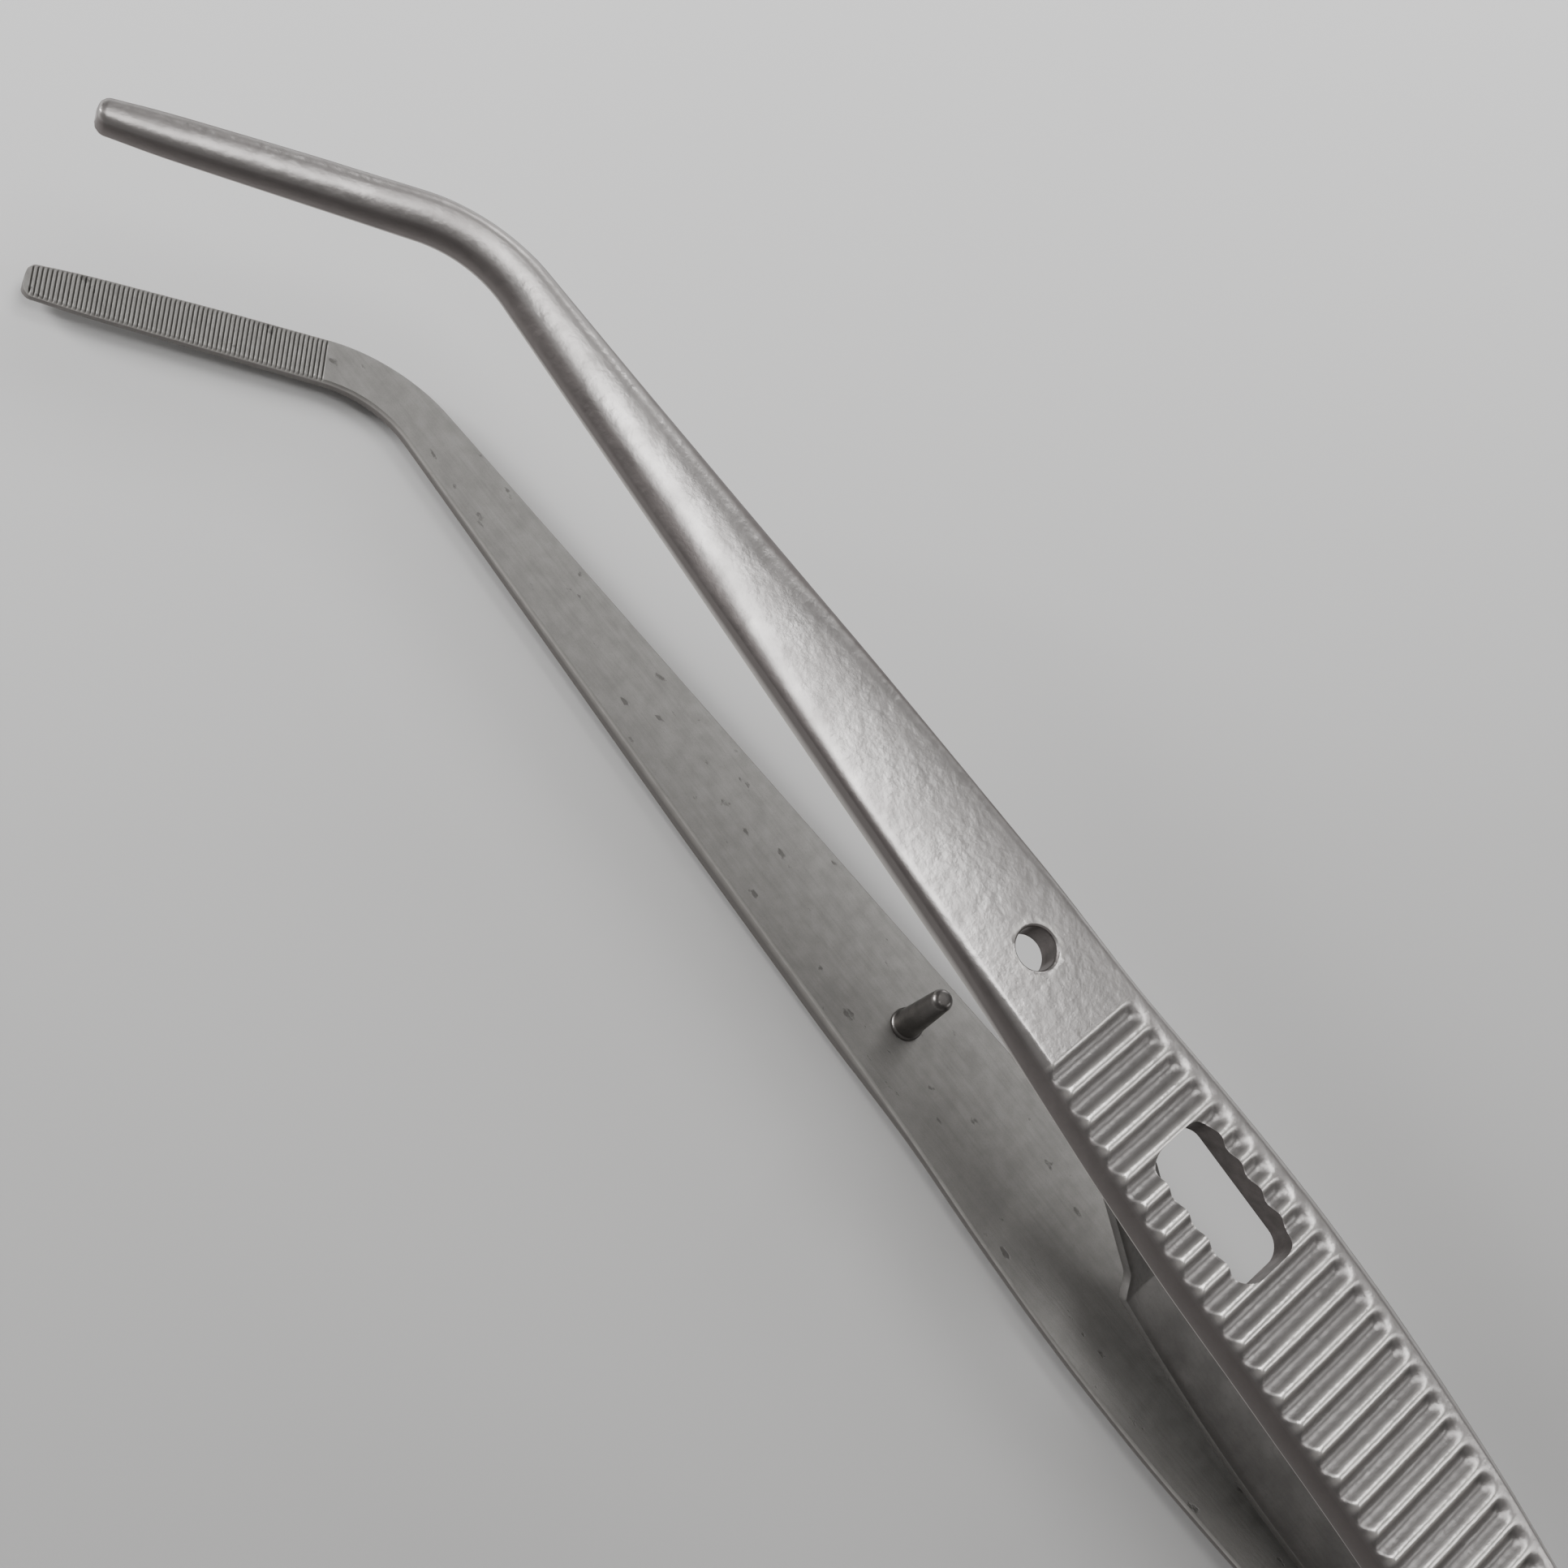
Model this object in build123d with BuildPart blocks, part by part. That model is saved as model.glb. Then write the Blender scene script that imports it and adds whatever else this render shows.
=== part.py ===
from build123d import *
import os
from math import atan2, cos, degrees, radians, sin, tan

os.makedirs("parts", exist_ok=True)

# Angled, serrated, self-locking tweezers. They lie on the ridged outer face of the lower arm:
# +X points to the tips, +Y is the side the tips bend to, +Z is up, towards the upper arm.
# The origin is on that face, under the middle of its flat stretch. Lengths in mm, angles in degrees.

# ---- driving dimensions ------------------------------------------------------------------------
# the arm seen from the side: straight from the tip to the grip, bowed behind it, closed at the heel
arm_thickness = 2.0
arm_lean = 1.75
pin_half_gap = 7.8
bow_start_x = -7.0
bow_radius = 155.0
bow_turn = 7.6
limb_thickness = 1.2
limb_taper_length = 9.0
heel_bend_radius = 12.0
heel_length = 9.0
tip_thickness = 1.35
tip_taper_radius = 40.0
limb_blend_radius = 20.0

# the arm seen from above
pin_x = 15.0
pin_to_bend = 47.1
bend_angle = 43.3
bend_radius = 10.3
tip_length = 18.7
grip_half_width = 5.7
pin_half_width = 4.25
heel_half_width = 3.0
grip_front_ease = 0.05
grip_rear_ease = 0.15
grip_rear_length = 6.0
grip_rear_slope = 0.04
bend_inside_half_width = 1.8
bend_outside_half_width = 1.2
tip_inside_half_width = 0.95
tip_outside_half_width = 1.4
tip_corner_radius = 1.0
arm_edge_chamfer = 0.65

# ridges across the grip's outer face, and fine teeth across the tip's inner face
first_ridge_x = 7.6
ridge_pitch = 1.9
ridge_count = 24
groove_radius = 0.62
groove_depth = 0.4
ridge_run_out = 0.9
tooth_pitch = 0.288
tooth_depth = 0.08

# guide pin and its hole
pin_height = 5.7
pin_base_radius = 0.92
pin_end_radius = 0.7
pin_nose_radius = 0.4
pin_collar_radius = 1.05
pin_collar_height = 0.35
pin_shank_radius = 0.8
pin_hole_radius = 1.3
pin_hole_rim = 0.25

# window in the upper arm, and the catch that stands in it when the arms are closed
window_centre_x = -3.0
window_length = 9.4
window_width = 4.8
window_corner_radius = 1.2
catch_thickness = 0.7
catch_half_width = 3.0
catch_foot_length = 10.0
catch_foot_gap = 2.0
catch_crease_x = -5.3
catch_crease_height = 4.95
catch_crease_radius = 1.5
catch_kink_radius = 3.0
catch_arc_share = 0.9
tongue_side_clearance = 0.3
tongue_angle = 38.0
tongue_reach = 5.4
tongue_lip = 0.6
tongue_lip_radius = 0.4
catch_flexure_length = 3.0
rivet_radius = 0.8
rivet_head_radius = 1.35
rivet_head_height = 0.45
rivet_spacing = 5.2

# heel weld and the springy length of the upper arm
weld_thickness = 0.3
weld_length = 5.8
weld_width = 4.4
flexure_length = 6.0
flexure_to_heel = 1.2
tip_gap_closed = 0.06

# ---- places worked out from the dimensions -------------------------------------------------------
inner_z = arm_thickness
bend_x = pin_x + pin_to_bend
tip_end_x = bend_x + bend_radius * sin(radians(bend_angle)) + tip_length * cos(radians(bend_angle))
blank_overrun = 3.0
blank_end_x = tip_end_x + blank_overrun
blank_half_width = 25.0
blank_height = 30.0

# The two arms mirror each other about a plane that leans with them.
mid_normal = Vector(-sin(radians(arm_lean)), 0, cos(radians(arm_lean)))
mid_origin = Vector(pin_x, 0, inner_z) + mid_normal * pin_half_gap
mid_forward = Vector(cos(radians(arm_lean)), 0, sin(radians(arm_lean)))
mid_plane = Plane(origin=mid_origin, x_dir=mid_forward, z_dir=mid_normal)

# The rear limb rises from the bow's corner until it meets the heel's line, just under the mid plane.
bow_corner_x = bow_start_x - bow_radius * tan(radians(bow_turn / 2))
heel_line_z = mid_origin.Z - (mid_origin.X - bow_corner_x) * tan(radians(arm_lean))
heel_line_z -= weld_thickness / 2 / cos(radians(arm_lean))
limb_run = (heel_line_z - inner_z) / (tan(radians(bow_turn)) + tan(radians(arm_lean)))
limb_length = limb_run / cos(radians(bow_turn))
heel_turn = bow_turn + arm_lean


def limb_point(distance, depth=0.0):
    """A point of the rear limb: distance back from the bow's corner, depth below the inner face."""
    along = (-cos(radians(bow_turn)), sin(radians(bow_turn)))
    down = (-sin(radians(bow_turn)), -cos(radians(bow_turn)))
    x = bow_corner_x + distance * along[0] + depth * down[0]
    return x, inner_z + distance * along[1] + depth * down[1]


def heel_point(distance, depth=0.0):
    """A point of the heel: distance back from its corner, depth below the inner face."""
    corner_x, corner_z = limb_point(limb_length)
    x = corner_x - distance * cos(radians(arm_lean)) + depth * sin(radians(arm_lean))
    return x, corner_z - distance * sin(radians(arm_lean)) - depth * cos(radians(arm_lean))


def limb_plane(distance, depth=0.0):
    """The plane at a point of the limb's inner face: x forward along the limb, z up from it."""
    x, z = limb_point(distance, depth)
    forward = (cos(radians(bow_turn)), 0, -sin(radians(bow_turn)))
    up = (sin(radians(bow_turn)), 0, cos(radians(bow_turn)))
    return Plane(origin=(x, 0, z), x_dir=forward, z_dir=up)


def grip_location(distance, height):
    """A place along the grip's outer face, distance back from the first ridge and height out of it."""
    flat = first_ridge_x - bow_start_x
    arc = (bow_radius + arm_thickness) * radians(bow_turn)
    if distance <= flat:
        return Location((first_ridge_x - distance, 0, -height))
    turn = min((distance - flat) / arc, 1.0) * radians(bow_turn)
    beyond = max(distance - flat - arc, 0.0)
    radius = bow_radius + arm_thickness + height
    x = bow_start_x - radius * sin(turn) - beyond * cos(turn)
    z = inner_z + bow_radius - radius * cos(turn) + beyond * sin(turn)
    return Location((x, 0, z), (0, degrees(turn), 0))


heel_end_x, heel_end_z = heel_point(heel_length)
ridge_end = (ridge_count - 1) * ridge_pitch - (first_ridge_x - bow_corner_x) + ridge_run_out

# ---- the arm's two outlines ----------------------------------------------------------------------
with BuildSketch(Plane.XZ) as arm_side:
    with BuildLine():
        inner_line = FilletPolyline(
            (blank_end_x, inner_z),
            (bow_corner_x, inner_z),
            limb_point(limb_length),
            heel_point(heel_length),
            radius=[bow_radius, heel_bend_radius],
        )
        limb_thin_start = ridge_end + limb_taper_length
        heel_corner = limb_length - limb_thickness * tan(radians(heel_turn / 2))
        outer_radii = [tip_taper_radius, bow_radius + arm_thickness, limb_blend_radius, limb_blend_radius]
        outer_radii.append(heel_bend_radius - limb_thickness)
        outer_line = FilletPolyline(
            (blank_end_x, inner_z - tip_thickness),
            (bend_x + bend_radius, 0),
            (bow_corner_x - arm_thickness * tan(radians(bow_turn / 2)), 0),
            limb_point(ridge_end, arm_thickness),
            limb_point(limb_thin_start, limb_thickness),
            limb_point(heel_corner, limb_thickness),
            heel_point(heel_length, limb_thickness),
            radius=outer_radii,
        )
        Line(inner_line @ 0, outer_line @ 0)
        Line(inner_line @ 1, outer_line @ 1)
    make_face()

half_bend = tan(radians(bend_angle / 2))
tip_direction = Vector(cos(radians(bend_angle)), sin(radians(bend_angle)))
tip_side = Vector(-sin(radians(bend_angle)), cos(radians(bend_angle)))
bend_corner = Vector(bend_x + bend_radius * half_bend, 0)
tip_start = bend_corner + tip_direction * bend_radius * half_bend
tip_centre = tip_start + tip_direction * tip_length


def long_edge(side, bend_width, tip_width):
    """One long edge of the outline, from pin to tip; side is 1 inside the bend, -1 outside."""
    start = Vector(pin_x, side * pin_half_width)
    corner = bend_corner + Vector(-half_bend, 1) * (side * bend_width)
    end = tip_centre + tip_side * (side * tip_width)
    return FilletPolyline(start, corner, end, radius=bend_radius - side * bend_width)


def grip_edge(side, front_edge):
    """The flare of the grip and its taper to the heel, from the long edge's start."""
    rear_x = limb_point(limb_length)[0]
    taper_x = (rear_x + bow_start_x) / 2
    return Spline(
        front_edge @ 0,
        (bow_start_x, side * (grip_half_width - grip_front_ease)),
        (taper_x + grip_rear_length, side * (grip_half_width - grip_rear_ease)),
        (heel_end_x + heel_half_width, side * heel_half_width),
        tangents=[(front_edge % 0) * -1, (-1, -grip_rear_slope * side)],
    )


with BuildSketch(Plane.XY) as arm_outline:
    with BuildLine():
        inside_edge = long_edge(1, bend_inside_half_width, tip_inside_half_width)
        outside_edge = long_edge(-1, bend_outside_half_width, tip_outside_half_width)
        Line(inside_edge @ 1, outside_edge @ 1)
        inside_grip = grip_edge(1, inside_edge)
        outside_grip = grip_edge(-1, outside_edge)
        ThreePointArc(inside_grip @ 1, (heel_end_x, 0), outside_grip @ 1)
    make_face()
    fillet(arm_outline.vertices().sort_by(SortBy.DISTANCE)[-2:], tip_corner_radius)

# ---- the arm as both sides share it --------------------------------------------------------------
tooth_count = int(tip_length / tooth_pitch)
tooth_places = []
for tooth in range(tooth_count):
    place = tip_start + tip_direction * ((tooth + 0.5) * tooth_pitch)
    tooth_places.append(Location((place.X, place.Y, inner_z), (0, 0, bend_angle)))

# One groove lies ahead of each ridge, so the first of them ends the smooth plate.
groove_places = []
for groove in range(ridge_count):
    groove_places.append(grip_location((groove - 0.5) * ridge_pitch, groove_radius - groove_depth))

outward_limit = -0.5
upright_limit = 0.3

with BuildPart() as arm_form:
    extrude(arm_side.sketch, amount=blank_half_width, both=True)
    extrude(arm_outline.sketch, amount=blank_height, mode=Mode.INTERSECT)
    outer_faces = arm_form.faces().filter_by(lambda face: face.normal_at().Z < outward_limit)
    side_faces = arm_form.faces().filter_by(lambda face: abs(face.normal_at().Z) < upright_limit)
    chamfer(outer_faces.edges() & side_faces.edges(), arm_edge_chamfer)
    with Locations(*groove_places):
        Cylinder(groove_radius, 2 * blank_half_width, rotation=(90, 0, 0), mode=Mode.SUBTRACT)
    with Locations(*tooth_places):
        tooth_side = tooth_depth * 2**0.5
        tooth_width = 4 * tip_outside_half_width
        Box(tooth_side, tooth_width, tooth_side, rotation=(0, 45, 0), mode=Mode.SUBTRACT)

# ---- lower arm -----------------------------------------------------------------------------------
foot_front = bow_radius * tan(radians(bow_turn / 2)) + catch_foot_gap
foot_rear = foot_front + catch_foot_length
foot_middle = (foot_front + foot_rear) / 2
rivet_depth = arm_thickness - groove_depth
rivet_distances = [foot_middle - rivet_spacing / 2, foot_middle + rivet_spacing / 2]
rivet_places = [limb_plane(distance, rivet_depth).location for distance in rivet_distances]
pin_place = Location((pin_x, 0, inner_z))

with BuildPart() as lower_arm:
    add(arm_form.part)
    with Locations(pin_place):
        Cylinder(pin_shank_radius, 2 * arm_thickness, mode=Mode.SUBTRACT)
    with Locations(*rivet_places):
        Cylinder(rivet_radius, 2 * arm_thickness, mode=Mode.SUBTRACT)

# ---- guide pin: a shank pressed into the arm, a low collar, and a tapered peg with a rounded nose ---
with BuildPart() as guide_pin:
    with BuildSketch(Plane.XZ):
        with BuildLine():
            Polyline(
                (pin_x, 0),
                (pin_x + pin_shank_radius, 0),
                (pin_x + pin_shank_radius, inner_z),
                (pin_x + pin_collar_radius, inner_z),
                (pin_x + pin_collar_radius, inner_z + pin_collar_height),
                (pin_x + pin_base_radius, inner_z + pin_collar_height),
                (pin_x + pin_end_radius, inner_z + pin_height),
                (pin_x, inner_z + pin_height),
                close=True,
            )
        make_face()
    revolve(axis=Axis((pin_x, 0, 0), (0, 0, 1)))
    fillet(guide_pin.edges().group_by(Axis.Z)[-1], pin_nose_radius)

# ---- catch: a riveted foot, a short flexing length, and a leaf that turns up into a tongue -------
kink_x, kink_z = limb_point(foot_front)
crease_z = inner_z + catch_crease_height
arc_corner_x = (kink_x + catch_crease_x) / 2
arc_run = catch_crease_x - arc_corner_x
arc_radius = catch_arc_share * arc_run / tan(atan2(crease_z - kink_z, arc_run) / 2)
tongue_end_x = catch_crease_x + tongue_reach
tongue_end_z = crease_z + tongue_reach * tan(radians(tongue_angle))
tongue_half_width = window_width / 2 - tongue_side_clearance
strip_rear_x = limb_point(foot_rear)[0]
flexure_front_x = kink_x + catch_flexure_length

with BuildPart() as catch_strip:
    with BuildSketch(Plane.XZ):
        with BuildLine():
            FilletPolyline(
                limb_point(foot_rear),
                (kink_x, kink_z),
                (arc_corner_x, kink_z),
                (catch_crease_x, crease_z),
                (tongue_end_x, tongue_end_z),
                (tongue_end_x + tongue_lip, tongue_end_z),
                radius=[catch_kink_radius, arc_radius, catch_crease_radius, tongue_lip_radius],
            )
            offset(amount=catch_thickness, side=Side.LEFT)
        make_face()
    extrude(amount=blank_half_width, both=True)
    with BuildSketch(Plane.XY) as strip_outline:
        with BuildLine():
            tongue_front_x = tongue_end_x + tongue_lip + catch_thickness
            Polyline(
                (strip_rear_x - catch_thickness, 0),
                (strip_rear_x - catch_thickness, catch_half_width),
                (catch_crease_x, catch_half_width),
                (catch_crease_x + catch_half_width - tongue_half_width, tongue_half_width),
                (tongue_front_x, tongue_half_width),
                (tongue_front_x, 0),
            )
            mirror(about=Plane.XZ)
        make_face()
    extrude(amount=blank_height, mode=Mode.INTERSECT)

foot_cut = Plane(origin=(kink_x, 0, 0), z_dir=(1, 0, 0))
leaf_cut = Plane(origin=(flexure_front_x, 0, 0), z_dir=(1, 0, 0))

with BuildPart() as catch_foot:
    add(catch_strip.part)
    split(bisect_by=foot_cut, keep=Keep.BOTTOM)
    with Locations(*rivet_places):
        Cylinder(rivet_radius, 4 * arm_thickness, mode=Mode.SUBTRACT)

with BuildPart() as catch_flexure:
    add(catch_strip.part)
    split(bisect_by=foot_cut, keep=Keep.TOP)
    split(bisect_by=leaf_cut, keep=Keep.BOTTOM)

with BuildPart() as catch_leaf:
    add(catch_strip.part)
    split(bisect_by=leaf_cut, keep=Keep.TOP)

with BuildPart() as catch_rivets:
    shank_length = rivet_depth + catch_thickness
    with Locations(*rivet_places):
        Cylinder(rivet_radius, shank_length, align=(Align.CENTER, Align.CENTER, Align.MIN))
    with Locations(*[place * Location((0, 0, shank_length)) for place in rivet_places]):
        Cylinder(rivet_head_radius, rivet_head_height, align=(Align.CENTER, Align.CENTER, Align.MIN))
    head_rims = catch_rivets.edges().filter_by(GeomType.CIRCLE).group_by(SortBy.RADIUS)[-1]
    fillet(head_rims, rivet_head_height / 3)

# ---- upper arm: the shared form with its hole and window, cut at its springy length, mirrored -----
flexure_rear = limb_length - flexure_to_heel
flexure_front = flexure_rear - flexure_length
front_cut = Plane(origin=limb_plane(flexure_front).origin, z_dir=limb_plane(0).x_dir)
rear_cut = Plane(origin=limb_plane(flexure_rear).origin, z_dir=limb_plane(0).x_dir)

with BuildPart() as upper_form:
    add(arm_form.part)
    with Locations(pin_place):
        Cylinder(pin_hole_radius, 3 * arm_thickness, mode=Mode.SUBTRACT)
    with Locations((pin_x, 0, 0)):
        Cone(pin_hole_radius + pin_hole_rim, pin_hole_radius, 2 * pin_hole_rim, mode=Mode.SUBTRACT)
    with BuildSketch(Plane.XY):
        with Locations((window_centre_x, 0)):
            RectangleRounded(window_length, window_width, window_corner_radius)
    extrude(amount=blank_height, mode=Mode.SUBTRACT)

with BuildPart() as upper_arm:
    add(upper_form.part)
    split(bisect_by=front_cut, keep=Keep.TOP)
    mirror(about=mid_plane, mode=Mode.REPLACE)

with BuildPart() as upper_arm_flexure:
    add(upper_form.part)
    split(bisect_by=front_cut, keep=Keep.BOTTOM)
    split(bisect_by=rear_cut, keep=Keep.TOP)
    mirror(about=mid_plane, mode=Mode.REPLACE)

with BuildPart() as upper_arm_heel:
    add(upper_form.part)
    split(bisect_by=rear_cut, keep=Keep.BOTTOM)
    mirror(about=mid_plane, mode=Mode.REPLACE)

# ---- heel weld: the thin fused pad that joins the two arms ---------------------------------------
heel_middle_x, heel_middle_z = heel_point(heel_length / 2)
weld_place = mid_plane.to_local_coords(Vector(heel_middle_x, 0, heel_middle_z))

with BuildPart() as heel_weld:
    with BuildSketch(mid_plane):
        with Locations((weld_place.X, 0)):
            Rectangle(weld_length, weld_width)
    extrude(amount=weld_thickness / 2, both=True)

# ---- the axes the moving pieces turn about -------------------------------------------------------


def mirrored(x, z):
    """The point of the upper arm that faces a point (x, z) of the lower arm."""
    point = Vector(x, 0, z)
    return point + mid_normal * (2 * (mid_origin - point).dot(mid_normal))


arm_axis = mirrored(*limb_point((flexure_front + flexure_rear) / 2, limb_thickness / 2))
upper_tip = mirrored(tip_end_x, inner_z) - arm_axis
lower_tip = Vector(tip_end_x, 0, inner_z + tip_gap_closed) - arm_axis
closing_angle = degrees(atan2(upper_tip.Z, upper_tip.X) - atan2(lower_tip.Z, lower_tip.X))
print(f"upper arm turns about x {arm_axis.X:.3f}, z {arm_axis.Z:.3f}")
print(f"upper arm closes by {closing_angle:.2f} degrees")
leaf_axis_x = (kink_x + flexure_front_x) / 2
leaf_axis_z = kink_z + catch_thickness / 2
print(f"catch leaf turns about x {leaf_axis_x:.3f}, z {leaf_axis_z:.3f}")

# ---- one file for each piece ---------------------------------------------------------------------
pieces = {
    "lower_arm": lower_arm,
    "guide_pin": guide_pin,
    "catch_foot": catch_foot,
    "catch_flexure": catch_flexure,
    "catch_leaf": catch_leaf,
    "catch_rivets": catch_rivets,
    "upper_arm": upper_arm,
    "upper_arm_flexure": upper_arm_flexure,
    "upper_arm_heel": upper_arm_heel,
    "heel_weld": heel_weld,
}
for name, piece in pieces.items():
    piece.part.label = name
    export_step(piece.part, f"parts/{name}.step")
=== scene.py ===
# %% [markdown]
# # Angled tweezers with ridged grips, toothed tips and a sprung catch
#
# This lesson dresses a measured model of a pair of self-locking tweezers. Two bowed steel arms meet at
# the heel behind the grip. Each has a ridged grip, a shaft with a crowned back, and a tip that turns
# aside and carries fine teeth on its inner face. The lower arm holds a guide pin and a strip of spring
# steel, the catch. The upper arm has a hole for the pin and a window for the catch. The measured model is
# loaded first and never changed: each steel piece here is a finer mesh that takes the place of one or
# more of its solids.

# %% Load the measured model
from math import cos, exp, log, pi, radians, sin, sqrt, tan

import bmesh
import bpy
import numpy as np
from mathutils import Matrix, Vector, noise


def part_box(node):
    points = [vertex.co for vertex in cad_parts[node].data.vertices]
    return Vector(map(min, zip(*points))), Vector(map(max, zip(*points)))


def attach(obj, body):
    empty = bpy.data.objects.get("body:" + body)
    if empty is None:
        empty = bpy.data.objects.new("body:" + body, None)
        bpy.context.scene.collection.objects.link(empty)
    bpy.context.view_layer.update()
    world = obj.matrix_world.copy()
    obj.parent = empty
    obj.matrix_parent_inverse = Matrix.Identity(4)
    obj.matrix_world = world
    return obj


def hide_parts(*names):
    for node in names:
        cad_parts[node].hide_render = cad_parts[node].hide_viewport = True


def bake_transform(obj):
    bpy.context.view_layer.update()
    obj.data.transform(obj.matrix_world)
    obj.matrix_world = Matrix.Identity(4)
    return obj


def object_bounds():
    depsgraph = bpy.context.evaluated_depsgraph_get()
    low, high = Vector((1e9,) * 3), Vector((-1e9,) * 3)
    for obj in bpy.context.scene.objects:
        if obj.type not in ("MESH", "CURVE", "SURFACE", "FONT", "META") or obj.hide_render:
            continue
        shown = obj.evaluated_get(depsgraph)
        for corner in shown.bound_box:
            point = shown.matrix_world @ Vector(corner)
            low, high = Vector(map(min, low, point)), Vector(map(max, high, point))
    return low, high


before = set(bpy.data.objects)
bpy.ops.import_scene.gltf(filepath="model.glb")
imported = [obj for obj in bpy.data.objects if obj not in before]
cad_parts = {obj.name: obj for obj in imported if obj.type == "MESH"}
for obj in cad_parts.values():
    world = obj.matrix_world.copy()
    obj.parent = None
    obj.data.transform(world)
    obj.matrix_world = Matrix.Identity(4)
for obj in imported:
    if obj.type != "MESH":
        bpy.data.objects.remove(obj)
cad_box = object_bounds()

mm = 0.001
print("box in mm", [round(v / mm, 2) for v in cad_box[0]], [round(v / mm, 2) for v in cad_box[1]])

# %% [markdown]
# ## The line an arm follows
#
# An arm is one bar of steel. Seen from the side its inner face is straight from the tips to the grip,
# bows gently upward behind the grip, runs straight again as the rear limb, and bends level at the heel.
# Seen from above it is straight until it turns aside for the tip. A mesh for such a bar can be carved
# from a block or swept along its line. Sweeping is chosen, because each cross-section can then differ:
# flat at the grip, crowned along the shaft, half-round near the tip. The helper below gives, for any
# distance along the inner face, the place where a cross-section is drawn and its left and outward
# directions. Distances are in millimetres, 0 where the bow starts, positive towards the tips.

# %% A helper that walks along the arm
inner_z = 2.0
bow_start_x = -7.0
bow_radius = 155.0
bow_turn = radians(7.6)
bow_arc = bow_radius * bow_turn
limb_run = 29.74
heel_bend_radius = 12.0
heel_turn = radians(9.35)
heel_arc = heel_bend_radius * heel_turn
heel_run = 8.02
bend_start_x = 62.1
bend_radius = 10.3
bend_turn = radians(43.3)
tip_run = 18.7

run_rear = -(bow_arc + limb_run + heel_arc + heel_run)
run_bend = bend_start_x - bow_start_x
run_tip = run_bend + bend_radius * bend_turn
run_front = run_tip + tip_run


def side_line(run):
    """Place and slope of the inner face seen from the side, at a distance along it."""
    back = max(-run, 0.0)
    arc = min(back, bow_arc)
    slope = arc / bow_radius
    x = bow_start_x + max(run, 0.0) - bow_radius * sin(slope)
    z = inner_z + bow_radius * (1 - cos(slope))
    straight = min(max(back - bow_arc, 0.0), limb_run)
    x -= straight * cos(slope)
    z += straight * sin(slope)
    turn = min(max(back - bow_arc - limb_run, 0.0), heel_arc) / heel_bend_radius
    x -= heel_bend_radius * (sin(slope) - sin(slope - turn))
    z += heel_bend_radius * (cos(slope - turn) - cos(slope))
    beyond = max(back - bow_arc - limb_run - heel_arc, 0.0)
    slope -= turn
    return x - beyond * cos(slope), z + beyond * sin(slope), slope


def station(run):
    """Origin, left and outward directions of the cross-section at a distance along the lower arm."""
    if run <= run_bend:
        x, z, slope = side_line(run)
        return Vector((x, 0, z)), Vector((0, 1, 0)), Vector((-sin(slope), 0, -cos(slope)))
    turn = min((run - run_bend) / bend_radius, bend_turn)
    beyond = max(run - run_tip, 0.0)
    x = bend_start_x + bend_radius * sin(turn) + beyond * cos(turn)
    y = bend_radius * (1 - cos(turn)) + beyond * sin(turn)
    return Vector((x, y, inner_z)), Vector((-sin(turn), cos(turn), 0)), Vector((0, 0, -1))


print("arm runs from", round(run_rear, 2), "to", round(run_front, 2), "mm")
print("heel at", [round(v, 2) for v in side_line(run_rear)[:2]])

# %% [markdown]
# ## How wide, thick and round the arm is
#
# The outline flares from the tip to the grip and tapers to a rounded heel. The bar is thickest at the
# grip, thins to a flat spring behind it, and thins a little to the tip. Its outer side is almost flat at
# the grip, with soft shoulders. Along the shaft the back is crowned between two upright flanks, and it
# rounds over fully before the bend. These sizes are read from short tables, then smoothed, because a
# straight-line table would show as faint kinks in the reflections.

# %% Tables for width, thickness and shoulder
table_step = 0.25
table_smoothing = 17
table_runs = np.arange(run_rear - 6, run_front + 6, table_step)


def smooth_table(rows):
    """Values at table_runs from a few (distance, value) rows, with the corners between them rounded."""
    values = np.interp(table_runs, [row[0] for row in rows], [row[1] for row in rows])
    padded = np.pad(values, table_smoothing // 2, mode="edge")
    return np.convolve(padded, np.ones(table_smoothing) / table_smoothing, mode="valid")


grip_rows = [(-60, 2.95), (-57, 3.02), (-51, 3.5), (-43, 4.25), (-33, 5.0), (-19.5, 5.56), (-8, 5.72)]
grip_rows += [(0, 5.66), (4, 5.52), (10, 5.14), (16, 4.62), (22, 4.23)]
run_corner = run_bend + bend_radius * bend_turn / 2
tip_left_rows = [(run_corner, 1.8), (run_front - 10, 1.38), (run_front - 3, 1.15), (run_front, 0.85)]
tip_right_rows = [(run_corner, 1.2), (run_front - 12, 1.42), (run_front - 3, 1.42), (run_front, 1.2)]
left_table = smooth_table(grip_rows + tip_left_rows)
right_table = smooth_table(grip_rows + tip_right_rows)
thick_rows = [(-39, 1.2), (-30, 2.0), (24, 2.0), (34, 1.92), (run_tip, 1.82), (run_front, 1.35)]
thick_table = smooth_table(thick_rows)
shoulder_rows = [(-40, 0.45), (-28, 1.0), (-10, 1.2), (14, 1.0), (22, 0.8)]
shoulder_rows += [(34, 0.9), (44, 1.5), (52, 3.0), (58, 9.0)]
shoulder_table = smooth_table(shoulder_rows)
camber_table = smooth_table([(-40, 0.05), (16, 0.09), (30, 0.24), (run_bend, 0.32), (run_front, 0.25)])
wall_rows = [(-40, 0.3), (-28, 0.35), (16, 0.45), (24, 1.35), (40, 1.35)]
wall_rows += [(run_bend, 0.6), (run_front, 0.35)]
wall_table = smooth_table(wall_rows)
curl_table = smooth_table([(-28, 1.45), (18, 1.45), (34, 2.0), (run_front, 2.0)])
heel_round = 3.0
tip_round = 0.65
least_half_width = 0.04


def look_up(table, run):
    """A table's value at a distance."""
    return float(np.interp(run, table_runs, table))


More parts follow.
